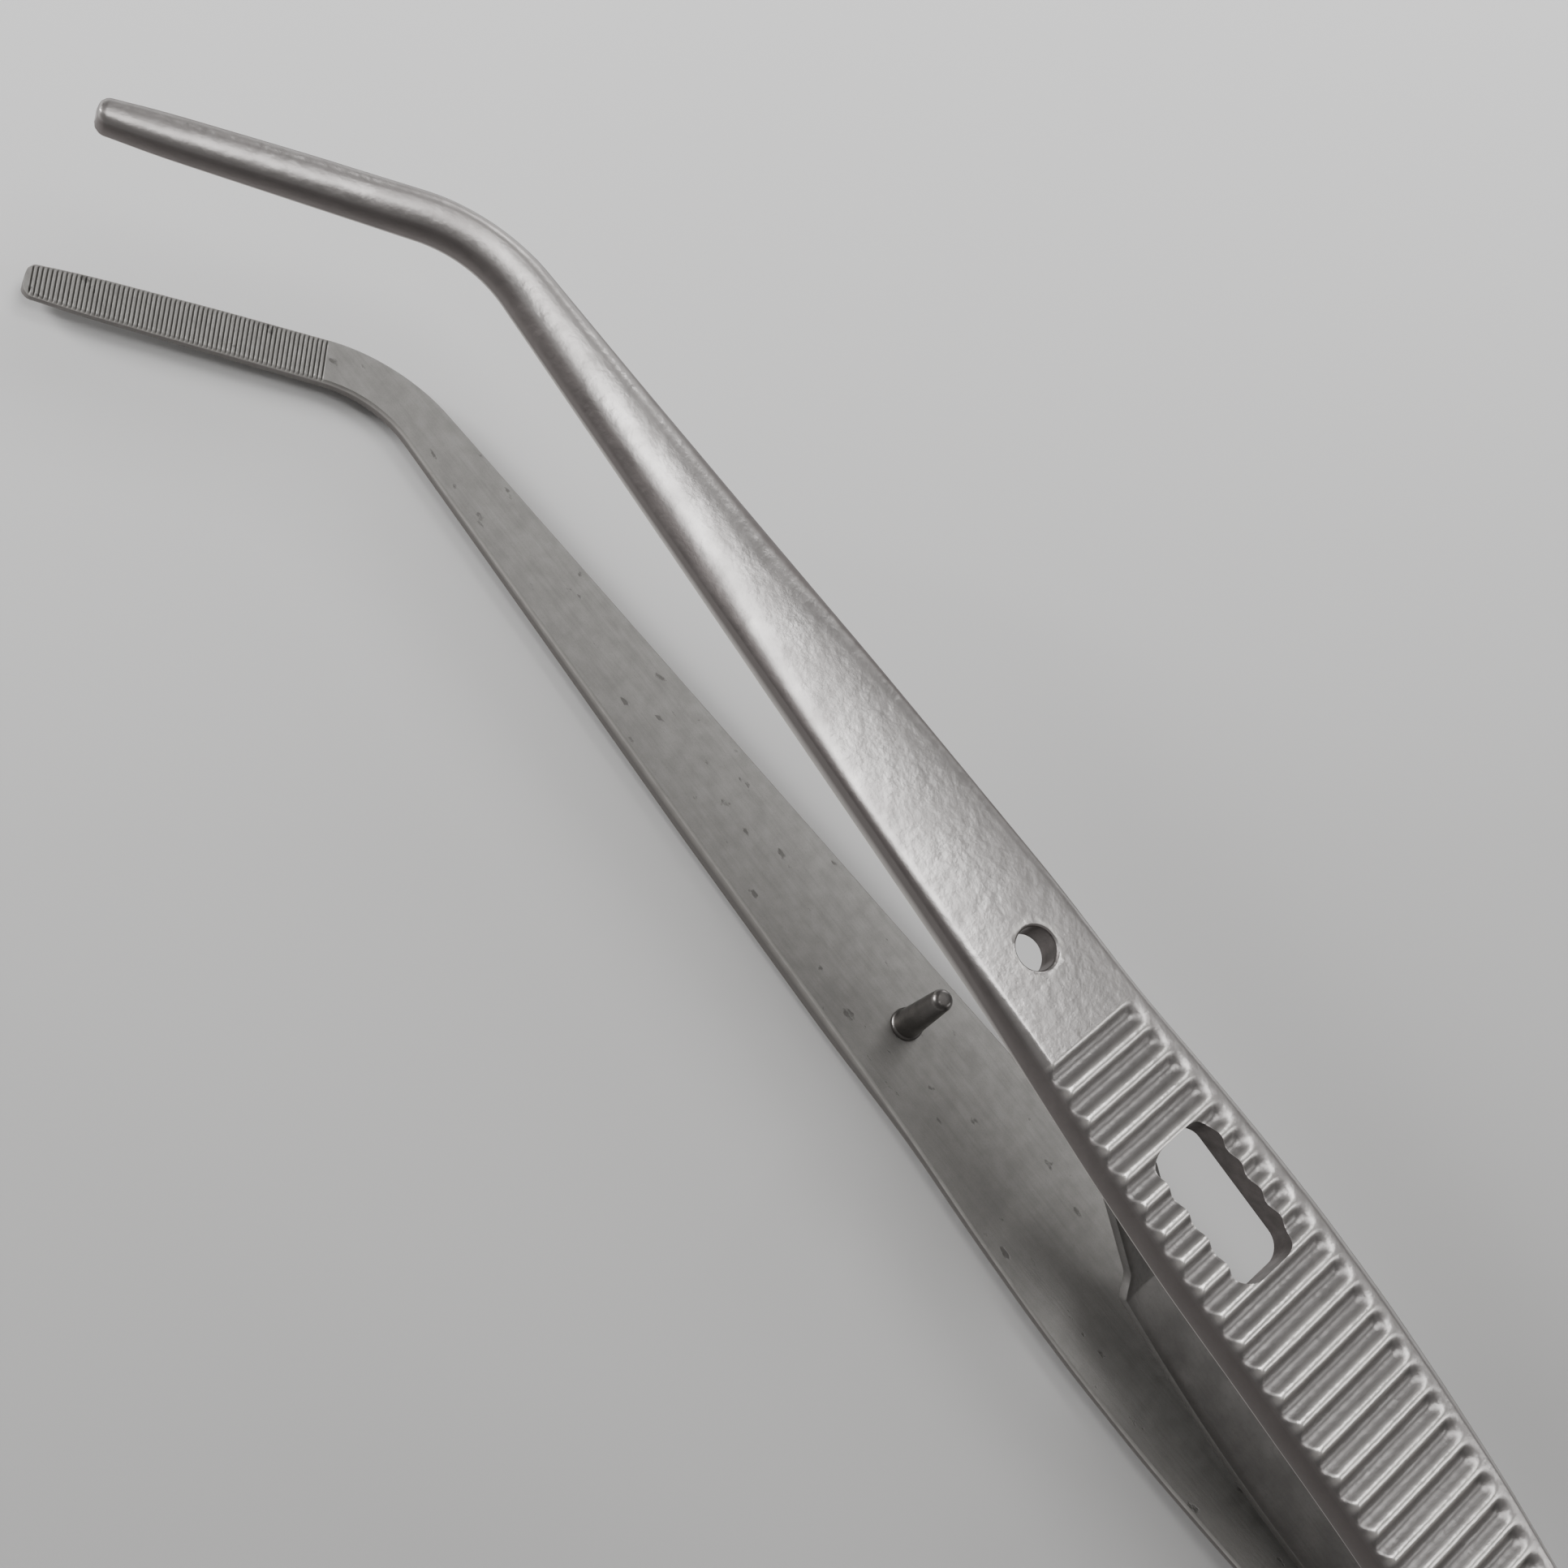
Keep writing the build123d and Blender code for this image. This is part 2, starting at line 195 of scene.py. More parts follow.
def clamped(value):
    """A value kept between 0 and 1."""
    return min(1.0, max(0.0, value))


def eased(value):
    """A share from 0 to 1 that starts and ends gently."""
    share = clamped(value)
    return share * share * (3 - 2 * share)


def rounded_end(width, distance, radius):
    """A half width that closes along a quarter circle over the last stretch before an end."""
    if distance >= radius:
        return width
    return max(width - radius + sqrt(max(radius**2 - (radius - distance) ** 2, 0.0)), least_half_width)


def half_widths(run):
    """How far the arm reaches to its left and to its right at a distance."""
    left, right = look_up(left_table, run), look_up(right_table, run)
    from_heel, from_tip = run - run_rear, run_front - run
    left, right = rounded_end(left, from_heel, heel_round), rounded_end(right, from_heel, heel_round)
    return rounded_end(left, from_tip, tip_round), rounded_end(right, from_tip, tip_round)


hole_run = 22.0
print("grip half width", round(max(left_table), 2), "mm")
print("half widths at the hole", [round(width, 2) for width in half_widths(hole_run)])

# %% [markdown]
# ## Ridges and teeth
#
# The grip's ridges are pressed in with a ribbed roll, so each groove is round-bottomed, the crest between
# two grooves is narrow, and the groove runs out through the rounded shoulder on one side, where each
# ridge ends in a small knob, but stops short of the edge on the other, which leaves a smooth margin. The
# tip's inner face has fine sharp teeth straight across it. Both could be faked with bump, but they show
# in the outline, so they are cut into the mesh: a profile says how deep the cut is at each distance along
# the arm.

# %% Profiles of the ridges and the teeth
first_ridge_run = 14.6
ridge_pitch = 1.9
ridge_count = 24
groove_depth = 0.42
crest_width = 0.2
groove_power = 0.62
margin_width = 1.5
margin_fade = 0.7
tooth_pitch = 0.288
tooth_depth = 0.1
tooth_half = 0.085
tooth_count = int(tip_run / tooth_pitch)


def ridge_distance(run):
    """Distance back from the first ridge, measured along the outer face."""
    if run >= 0:
        return first_ridge_run - run
    outer_gain = (bow_radius + inner_z) / bow_radius
    return first_ridge_run + min(-run, bow_arc) * outer_gain + max(-run - bow_arc, 0.0)


def groove_share(run):
    """1 at the bottom of a groove, 0 on a crest and outside the ridged stretch."""
    place = ridge_distance(run) / ridge_pitch
    if place < -1.0 or place > ridge_count - 1.0:
        return 0.0
    off_crest = abs(place - round(place)) * ridge_pitch - crest_width / 2
    reach = (ridge_pitch - crest_width) / 2
    if off_crest <= 0:
        return 0.0
    return (0.5 - 0.5 * cos(pi * off_crest / reach)) ** groove_power


def tooth_share(run):
    """1 in the bottom of a cut between two teeth, 0 on a tooth."""
    place = (run - run_tip) / tooth_pitch
    if place < 0 or place > tooth_count:
        return 0.0
    return max(0.0, 1.0 - abs(place - int(place) - 0.5) * tooth_pitch / tooth_half)


print("ridges from run", round(first_ridge_run + ridge_pitch, 2), "back;", tooth_count, "teeth on the tip")

# %% Where the cross-sections stand
heel_stations = [run_rear + d for d in (0.01, 0.08, 0.2, 0.4, 0.7, 1.1, 1.6, 2.2)]
heel_stations += list(np.arange(run_rear + 2.6, run_rear + 11, 0.3))
limb_stations = list(np.arange(run_rear + 11.2, -30.0, 0.8))
ridge_stations = list(np.arange(-29.4, 16.9, ridge_pitch / 18))
plate_stations = list(np.arange(17.2, 30.0, 0.45))
shaft_stations = list(np.arange(30.5, run_bend - 1, 0.9))
bend_stations = list(np.arange(run_bend - 0.5, run_tip - 0.1, 0.3))
tooth_stations = []
for tooth in range(tooth_count):
    middle = run_tip + (tooth + 0.5) * tooth_pitch
    tooth_stations += [middle - tooth_half, middle, middle + tooth_half]
end_stations = [run_front - d for d in (0.11, 0.05, 0.0)]
last_tooth_gap = 0.15
runs = heel_stations + limb_stations + ridge_stations + plate_stations + shaft_stations + bend_stations
runs += [tooth for tooth in tooth_stations if tooth < run_front - last_tooth_gap] + end_stations
runs.sort()
print(len(runs), "cross-sections")

# %% [markdown]
# ## The cross-section
#
# One cross-section is a closed ring of points: across the inner face, over a small ground bevel, up the
# side wall, round the shoulder, across the crown and down the other side. Every ring has the same number
# of points, so neighbouring rings join with plain quads. Three values are kept for the finish.
# wear_and_highlight lightens the ridge crests, the bevel and the hole's rim: partly polish from hands and
# tumbling, partly a painted highlight. Recess darkens the grooves and the gaps between the teeth as
# painted shade and makes them rougher; it also dulls and darkens the weld spot. Flank darkens the side
# walls, which are sheared and rougher, with painted shade in place of their dark reflection, and darkens
# the tip as painted shade.

# %% A ring of points and its finish values
bevel = 0.14
bevel_wear_highlight, bevel_flank = 0.6, 0.5
end_bevel = 0.2
end_bevel_slope = 0.6
inner_points = 11
shoulder_points = 14
crown_points = 29
wall_most = 0.78
wall_middle = 0.6
curl_most = 0.93
flat_camber = 0.05
# The tip darkens towards its end: painted shade where the light falls off.
tip_painted_shade = 0.42
tip_shade_fade = 6.0
# Flank darkens the side walls: partly their own sheared finish, partly painted shade in place of a dark
# reflection.
flank_top = 0.86
flank_fade = 0.22
# Grooves and the gaps between teeth get painted shade: their colour is darkened, and they are roughened.
tooth_gap_shade_and_dullness = 0.6
groove_shade_and_dullness = 2.2
crest_wear_highlight = 4
crest_wall = 0.35
blend_soft = 0.03
dent_size = 0.016
dent_grain = 0.22
rim_reach = 1.75
rim_fade = 0.25
spot_weld_back = 4.2
spot_weld_radius = 1.25
spot_weld_depth = 0.12
spot_weld_dullness = 0.5


def soft_lower(high, low):
    """The lower of two heights, with the corner where they cross rounded."""
    gap = (high - low) / blend_soft
    return high - blend_soft * (gap + log(1 + exp(-gap)) if gap > 0 else log(1 + exp(gap)))


def section(run, seed):
    """(y, height, wear, recess, flank) around the bar at a distance; height is measured outward."""
    left, right = half_widths(run)
    thick = look_up(thick_table, run)
    wall = min(look_up(wall_table, run), thick * wall_most)
    shoulder = look_up(shoulder_table, run)
    camber = look_up(camber_table, run)
    groove, tooth = groove_share(run), tooth_share(run)
    in_ridges = -1.0 < ridge_distance(run) / ridge_pitch < ridge_count - 1.0
    from_end = min(run_front - run, run - run_rear)
    thick -= max(0.0, end_bevel - from_end) * end_bevel_slope + camber - flat_camber
    edge = min(bevel, left / 3, right / 3)
    ring = []
    for y in np.linspace(-(right - edge), left - edge, inner_points):
        ring.append((y, tooth * tooth_depth, 0.0, tooth_gap_shade_and_dullness * tooth, 0.0))

    def side(sign, width):
        points = [(sign * width, max(edge, tooth * tooth_depth), bevel_wear_highlight, 0.0, bevel_flank)]
        points.append((sign * width, wall * wall_middle, 0.0, 0.0, 1.0))
        curl = min(shoulder, width * curl_most)
        power = 2 / look_up(curl_table, run)
        for k in range(shoulder_points):
            angle = pi / 2 * k / (shoulder_points - 1)
            out, rise = max(cos(angle), 0.0) ** power, sin(angle) ** power
            flank_shade = clamped((flank_top - rise) / flank_fade)
            y = sign * (width - curl + curl * out)
            points.append((y, wall + (thick - wall) * rise, 0.0, 0.0, flank_shade))
        return points, sign * (width - curl)

    left_side, left_crown = side(1, left)
    right_side, right_crown = side(-1, right)
    crown = []
    for y in np.linspace(left_crown, right_crown, crown_points)[1:-1]:
        crown.append((y, thick, 0.0, 0.0, 0.0))
    # Painted shade over the tip, carried in the flank value.
    tip_shade = tip_painted_shade * clamped((run - run_bend + tip_shade_fade) / (2 * tip_shade_fade))
    outer = []
    for y, height, wear_and_highlight, recess, flank in left_side + crown + right_side[::-1]:
        if height > wall:
            width = left if y > 0 else right
            bulge = camber * (1 - (y / width) ** 2)
            margin = eased((y + right - margin_width) / margin_fade)
            rough = noise.noise(Vector((run * dent_grain, y * dent_grain * 2, seed)))
            rough += 0.5 * noise.noise(Vector((run * dent_grain * 3, y * dent_grain * 4, seed + 7)))
            height += (bulge + dent_size * rough) * min(1.0, 2 * (height - wall))
            floor = thick + bulge - groove_depth * groove * margin
            height = soft_lower(height, floor)
            if in_ridges:
                lifted = clamped((height - thick + groove_depth + crest_wall) / crest_wall)
                recess = min(1.0, groove * groove_shade_and_dullness) * margin * lifted
                proud = clamped((height - thick + crest_wall) / crest_wall)
                # Crests are lightened: partly polish, partly a painted highlight.
                wear_and_highlight = (1 - groove) ** crest_wear_highlight * margin * proud
            off_hole = ((run - hole_run) ** 2 + y**2) ** 0.5
            wear_and_highlight = max(wear_and_highlight, clamped((rim_reach - off_hole) / rim_fade))
            spot = ((run - run_rear - spot_weld_back) ** 2 + y**2) / spot_weld_radius**2
            if spot < 1:
                height -= spot_weld_depth * (1 - spot) ** 0.5
                recess = spot_weld_dullness
        outer.append((y, height, wear_and_highlight, recess, max(flank, tip_shade)))
    return ring + outer


print(len(section(30.0, 1.0)), "points in a ring")

# %% Turn the rings into a mesh
sharp_degrees = 38


def shade(mesh, sharp=sharp_degrees):
    """Shade smoothly, and keep edges sharper than an angle crisp."""
    mesh.polygons.foreach_set("use_smooth", [True] * len(mesh.polygons))
    mesh.set_sharp_from_angle(angle=radians(sharp))
    mesh.update()


def tidy_normals(mesh, sharp=sharp_degrees):
    """Point every face outward, then shade the mesh."""
    shape = bmesh.new()
    shape.from_mesh(mesh)
    bmesh.ops.recalc_face_normals(shape, faces=shape.faces)
    shape.to_mesh(mesh)
    shape.free()
    shade(mesh, sharp)


def closed_skin(name, points, count):
    """A mesh from rings of count points each: quads between neighbours, and a cap on both ends."""
    faces = []
    for low in range(0, len(points) - count, count):
        high = low + count
        for k in range(count):
            after = (k + 1) % count
            faces.append((low + k, low + after, high + after, high + k))
    faces.append(tuple(range(count))[::-1])
    faces.append(tuple(range(len(points) - count, len(points))))
    mesh = bpy.data.meshes.new(name)
    mesh.from_pydata(points, [], faces)
    return mesh


def put_in_scene(name, data):
    """A new object made of a mesh, a light or a camera."""
    made = bpy.data.objects.new(name, data)
    bpy.context.scene.collection.objects.link(made)
    return made


def loft(name, run_list, seed):
    """The arm as one closed mesh in metres, in the lower arm's place, with its three finish values."""
    points, wear_and_highlight, recess, flank = [], [], [], []
    for run in run_list:
        origin, left_way, outward = station(run)
        for y, height, worn_and_lit, sunk, flank_shade in section(run, seed):
            points.append((origin + left_way * y + outward * height) * mm)
            wear_and_highlight.append(worn_and_lit)
            recess.append(sunk)
            flank.append(flank_shade)
    mesh = closed_skin(name, points, len(points) // len(run_list))
    for label, values in (("wear_and_highlight", wear_and_highlight), ("recess", recess), ("flank", flank)):
        mesh.attributes.new(label, "FLOAT", "POINT").data.foreach_set("value", values)
    tidy_normals(mesh)
    print(name, len(mesh.vertices), "points")
    return put_in_scene(name, mesh)


lower_arm = loft("lower_arm_steel", runs, 1.0)
upper_arm = loft("upper_arm_steel", runs, 5.0)

# %% [markdown]
# ## The pin's hole and the catch's window
#
# The upper arm has a punched hole whose outer rim is rolled smooth, and a window with rounded corners.
# Both are cut with Blender's boolean tool, using a turned cutter that flares at the rim for the hole, and
# a rounded slab for the window. Cutting comes before mirroring, while both arms still lie in the same
# place.

# %% Helpers for turned pieces and cuts
def turned(name, profile, centre, steps=72, up=Vector((0, 0, 1))):
    """A mesh turned about an upright axis from (radius, height) pairs, closed at both ends."""
    points = []
    for radius, height in profile:
        for k in range(steps):
            angle = 2 * pi * k / steps
            points.append((radius * cos(angle) * mm, radius * sin(angle) * mm, height * mm))
    mesh = closed_skin(name, points, steps)
    tilt = up.to_track_quat("Z", "Y").to_matrix().to_4x4()
    mesh.transform(Matrix.Translation(Vector(centre) * mm) @ tilt)
    tidy_normals(mesh)
    return put_in_scene(name, mesh)


def settle(piece):
    """Make a piece's modifiers part of its mesh."""
    bpy.context.view_layer.update()
    graph = bpy.context.evaluated_depsgraph_get()
    mesh = bpy.data.meshes.new_from_object(piece.evaluated_get(graph))
    piece.modifiers.clear()
    piece.data = mesh


def cut(piece, cutter):
    """Take the cutter's shape out of a piece, then delete the cutter."""
    tool = piece.modifiers.new("cut", "BOOLEAN")
    tool.operation, tool.solver, tool.object = "DIFFERENCE", "EXACT", cutter
    settle(piece)
    bpy.data.objects.remove(cutter)
    print(piece.name, "now has", len(piece.data.vertices), "points")


# %% Cut the hole and the window
pin_x = 15.0
hole_radius = 1.3
hole_flare = 0.3
flare_start = -0.06
hole_bevel = 0.14
flare_steps = 6
hole_profile = [(hole_radius + hole_flare, -1.0)]
for k in range(flare_steps + 1):
    angle = pi / 2 * k / flare_steps
    radius = hole_radius + hole_flare * (1 - sin(angle))
    hole_profile.append((radius, flare_start + hole_flare * (1 - cos(angle))))
hole_profile += [(hole_radius, inner_z - 0.12), (hole_radius + hole_bevel, inner_z + 0.02)]
hole_profile.append((hole_radius + hole_bevel, 3.5))
cut(upper_arm, turned("hole_cutter", hole_profile, (pin_x, 0, 0)))

window_x = -3.0
window_length = 9.4
window_width = 4.8
window_round = 1.35
window_steps = 10
outline = []
for quarter in range(4):
    x = window_x + (window_length / 2 - window_round) * (1 if quarter in (0, 3) else -1)
    y = (window_width / 2 - window_round) * (1 if quarter in (0, 1) else -1)
    for k in range(window_steps + 1):
        angle = pi / 2 * (quarter + k / window_steps)
        outline.append((x + window_round * cos(angle), y + window_round * sin(angle)))
slab_points = [(x * mm, y * mm, z * mm) for z in (-2, 6) for x, y in outline]
slab = closed_skin("window_cutter", slab_points, len(outline))
tidy_normals(slab)
cut(upper_arm, put_in_scene("window_cutter", slab))

# %% [markdown]
# ## Two arms that face each other
#
# The two arms are the same bar, so the upper one is the lower one mirrored about a plane that leans a
# little, because the arms stand apart at the tips and meet at the heel. The mirror turns the mesh inside
# out, so its faces are flipped back.

# %% Mirror the upper arm
arm_lean = radians(1.75)
pin_half_gap = 7.8
mid_normal = Vector((-sin(arm_lean), 0, cos(arm_lean)))
mid_origin = Vector((pin_x, 0, inner_z)) + mid_normal * pin_half_gap
reflect = Matrix.Identity(4)
for row in range(3):
    for column in range(3):
        reflect[row][column] -= 2 * mid_normal[row] * mid_normal[column]
    reflect[row][3] = 2 * mid_origin.dot(mid_normal) * mid_normal[row] * mm
upper_arm.data.transform(reflect)
upper_arm.data.flip_normals()
shade(upper_arm.data)

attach(lower_arm, "lower_arm")
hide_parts("lower_arm")
print("upper arm's top at", round(max(v.co.z for v in upper_arm.data.vertices) / mm, 2), "mm")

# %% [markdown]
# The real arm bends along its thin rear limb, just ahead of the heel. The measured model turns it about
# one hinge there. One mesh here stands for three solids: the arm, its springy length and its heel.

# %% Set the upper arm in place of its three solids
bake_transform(upper_arm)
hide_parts("upper_arm", "upper_arm_flexure", "upper_arm_heel")

# %% [markdown]
# ## The catch
#
# The catch is a strip of spring steel riveted to the lower arm. It lies flat on the rear limb, springs
# away in a long easy arc, and is creased upward into a narrower tongue that hooks in the upper arm's
# window. The strip is swept along its own line, which is a chain of straight runs with rounded corners,
# with a flat cross-section whose long edges are slightly rounded, as blanked and tumbled strip has.

# %% The strip's line
catch_corners = [(-39.39, 4.95), (-29.482, 3.626), (-17.39, 3.626)]
catch_corners += [(-5.3, 6.95), (0.1, 11.17), (0.62, 11.17)]
catch_radii = [0, 3.0, 78.0, 1.5, 0.4, 0]
catch_step = 0.3
corner_steps = 10
same_place = 1e-4
shortest_step = 0.05


def rounded_line(corners, radii):
    """Points along a chain of straight runs whose corners are arcs, with the direction at each."""
    places = [Vector(c) for c in corners]
    line = [places[0]]
    for before, corner, after, radius in zip(places, places[1:], places[2:], radii[1:]):
        back, ahead = (before - corner).normalized(), (after - corner).normalized()
        half = back.angle(ahead) / 2
        reach = radius / tan(half)
        start, end = corner + back * reach, corner + ahead * reach
        centre = corner + (back + ahead).normalized() * radius / sin(half)
        steps = max(corner_steps, int((start - end).length / catch_step))
        for k in range(steps + 1):
            share = k / steps
            spoke = (start - centre).lerp(end - centre, share).normalized() * radius
            line.append(centre + spoke)
    line.append(places[-1])
    dense = [line[0]]
    for point in line[1:]:
        gap = (point - dense[-1]).length
        if gap < same_place:
            continue
        for k in range(1, int(gap / catch_step) + 1):
            if k * catch_step < gap - shortest_step:
                dense.append(dense[-1] + (point - dense[-1]).normalized() * catch_step)
        dense.append(point)
    return dense


catch_line = rounded_line(catch_corners, catch_radii)
print(len(catch_line), "points along the catch, ending at", [round(v, 2) for v in catch_line[-1]])

# %% Sweep the strip
catch_thick = 0.7
catch_half = 3.0
tongue_half = 2.1
crease_x = -5.3
neck_length = 1.3
strip_edge = 0.14
edge_in, edge_up = 0.03, 0.05
strip_across = 13
strip_sharp_degrees = 32
foot_corner = 0.6
tongue_corner = 0.6


def strip_half(point, travelled, total):
    """Half the strip's width at a place: full on the foot and leaf, narrower on the tongue."""
    half = catch_half + (tongue_half - catch_half) * eased((point.x - crease_x) / neck_length)
    half = rounded_end(half, travelled, foot_corner)
    return rounded_end(half, total - travelled, tongue_corner)


strip_points = []
lengths = [0.0]
for before, after in zip(catch_line, catch_line[1:]):
    lengths.append(lengths[-1] + (after - before).length)
for k, point in enumerate(catch_line):
    ahead = catch_line[min(k + 1, len(catch_line) - 1)] - catch_line[max(k - 1, 0)]
    up = Vector((-ahead.y, ahead.x)).normalized()
    half = strip_half(point, lengths[k], lengths[-1])
    ring = []
    for y in np.linspace(-(half - strip_edge), half - strip_edge, strip_across):
        ring.append((y, 0.0))
    ring += [(half - edge_in, edge_up), (half, strip_edge)]
    ring += [(half, catch_thick - strip_edge), (half - edge_in, catch_thick - edge_up)]
    for y in np.linspace(half - strip_edge, -(half - strip_edge), strip_across):
        ring.append((y, catch_thick))
    ring += [(-half + edge_in, catch_thick - edge_up), (-half, catch_thick - strip_edge)]
    ring += [(-half, strip_edge), (-half + edge_in, edge_up)]
    for y, height in ring:
        place = point + up * height
        strip_points.append((place.x * mm, y * mm, place.y * mm))
strip_mesh = closed_skin("catch_strip", strip_points, len(ring))
tidy_normals(strip_mesh, strip_sharp_degrees)
catch_strip = put_in_scene("catch_strip", strip_mesh)

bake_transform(catch_strip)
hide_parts("catch_foot", "catch_flexure", "catch_leaf")
print("catch strip", len(strip_mesh.vertices), "points")

# %% [markdown]
# ## Guide pin, rivets and weld
#
# The guide pin is turned from bar: a low collar, a slightly tapered peg and a rounded nose. It is pressed
# into the lower arm. The two rivets that hold the catch have low domed heads. The arms are joined at the
# heel by fused metal between them. Turned pieces are made by spinning a profile of (radius, height)
# pairs. The weld is a thin pad whose rim is made uneven, as fused metal is.

# %% Guide pin
axis_gap = 0.01
pin_height = 5.7
shank_radius = 0.8
collar_radius = 1.05
peg_radius = 0.92
peg_start = 0.46
peg_taper = 0.2
peg_steps = 8
nose_base = 0.72
nose_radius = 0.42
nose_steps = 9
pin_profile = [(axis_gap, 0.02), (0.72, 0.02), (shank_radius, 0.1), (shank_radius, inner_z - 0.02)]
pin_profile += [(1.0, inner_z - 0.02), (collar_radius, inner_z + 0.04), (collar_radius, inner_z + 0.27)]
pin_profile += [(0.99, inner_z + 0.34), (0.95, inner_z + 0.36), (peg_radius, inner_z + peg_start)]
for k in range(1, peg_steps + 1):
    rise = (pin_height - nose_radius - peg_start) * k / peg_steps
    pin_profile.append((peg_radius - peg_taper * k / peg_steps, inner_z + peg_start + rise))
for k in range(1, nose_steps + 1):
    angle = pi / 2 * k / nose_steps
    radius = nose_base - nose_radius + nose_radius * cos(angle)
    pin_profile.append((radius, inner_z + pin_height - nose_radius * (1 - sin(angle))))
pin_profile.append((axis_gap, inner_z + pin_height))
guide_pin = turned("guide_pin_turned", pin_profile, (pin_x, 0, 0))
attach(guide_pin, "lower_arm")
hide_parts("guide_pin")
print("guide pin stands", pin_height, "mm above the inner face")

# %% Rivets
# Places on the limb are measured from where the grip's line and the limb's would cross, under the bow.
crossing = round(bow_radius * tan(bow_turn / 2), 3)
rivet_places = (14.7, 19.9)
rivet_radius = 0.8
head_profile = [(1.3, -0.01), (1.35, 0.06), (1.33, 0.16), (1.22, 0.28)]
head_profile += [(1.0, 0.37), (0.7, 0.42), (0.3, 0.445), (axis_gap, 0.45)]
rivet_profile = [(axis_gap, -1.6), (0.78, -1.6), (rivet_radius, -1.5), (rivet_radius, 0.0)]
rivet_profile.append((rivet_radius, catch_thick))
rivet_profile += [(radius, catch_thick + height) for radius, height in head_profile]
rivets = []
for count, place in enumerate(rivet_places):
    x, z, slope = side_line(-(bow_arc + place - crossing))
    upright = Vector((sin(slope), 0, cos(slope)))
    rivets.append(turned(f"rivet_{count}", rivet_profile, (x, 0, z), up=upright))
catch_rivets, second_rivet = rivets
joined = bmesh.new()
for rivet in rivets:
    joined.from_mesh(rivet.data)
joined.to_mesh(catch_rivets.data)
joined.free()
bpy.data.objects.remove(second_rivet)
catch_rivets.name = "catch_rivets_domed"
tidy_normals(catch_rivets.data)
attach(catch_rivets, "lower_arm")
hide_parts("catch_rivets")
print("two rivets, heads", 2 * max(radius for radius, height in head_profile), "mm across")

# %% Heel weld
weld_low, weld_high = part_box("heel_weld")
weld_centre = (Vector(weld_low) + Vector(weld_high)) / 2
weld_length = 5.8 * mm
weld_half_width = 2.2 * mm
weld_half_thick = 0.15 * mm
weld_unevenness = 0.05
weld_squareness = 4
weld_fit = 0.94
weld_points = []
weld_around = 48
weld_rings = [(0.9, -1.0), (1.0, -0.55), (1.03, 0.0), (1.0, 0.55), (0.9, 1.0)]
for scale, level in weld_rings:
    for k in range(weld_around):
        angle = 2 * pi * k / weld_around
        wobble = 1 + weld_unevenness * noise.noise(Vector((3 * cos(angle), 3 * sin(angle), level)))
        rounded = abs(cos(angle)) ** weld_squareness + abs(sin(angle)) ** weld_squareness
        squared = rounded ** (-1 / weld_squareness) * weld_fit
        x = weld_length / 2 * cos(angle) * squared * scale * wobble
        y = weld_half_width * sin(angle) * squared * scale * wobble
        weld_points.append((x, y, level * weld_half_thick))
weld_mesh = closed_skin("heel_weld_bead", weld_points, weld_around)
weld_mesh.transform(Matrix.Translation(weld_centre) @ Matrix.Rotation(-arm_lean, 4, "Y"))
tidy_normals(weld_mesh)
heel_weld = put_in_scene("heel_weld_bead", weld_mesh)
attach(heel_weld, "lower_arm")
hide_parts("heel_weld")
print("weld centred at", [round(v / mm, 2) for v in weld_centre])

# %% [markdown]
# ## Finishes
#
# All of it is steel, but no two surfaces of a real pair are finished alike. The arms are blasted with
# fine beads: a soft, even sheen with a faint mottle and shallow dents. Some of the colour is painted light
# and shade. The ridge crests, the bevel and the hole's rim are lighter, partly from polish and partly as a
# painted highlight. The grooves and the gaps between the teeth are darker as painted shade. The side walls
# are darker as painted shade and rougher as sheared steel, and the tip is darker as painted shade. The
# walls of the hole and the window, and the catch strip, are darkened as painted shade. A metal's colour
# comes from what it reflects, so most of the look is roughness and a very fine bump. The nodes are built
# by one helper from the object's own coordinates, in metres, so a noise scale of 300 gives patches about
# 3 mm across.

# %% A helper for steel
speckles_per_mottle = 9
brush_scale = 4200.0
dent_scale = 1300.0
pit_scale = 1000.0
pit_colour = (0.12, 0.115, 0.11)
pit_tint = 0.7
along_the_arm = (0.06, 1.0, 1.0)
slightly_long = (0.6, 1.0, 1.0)
bump_strength = 0.7


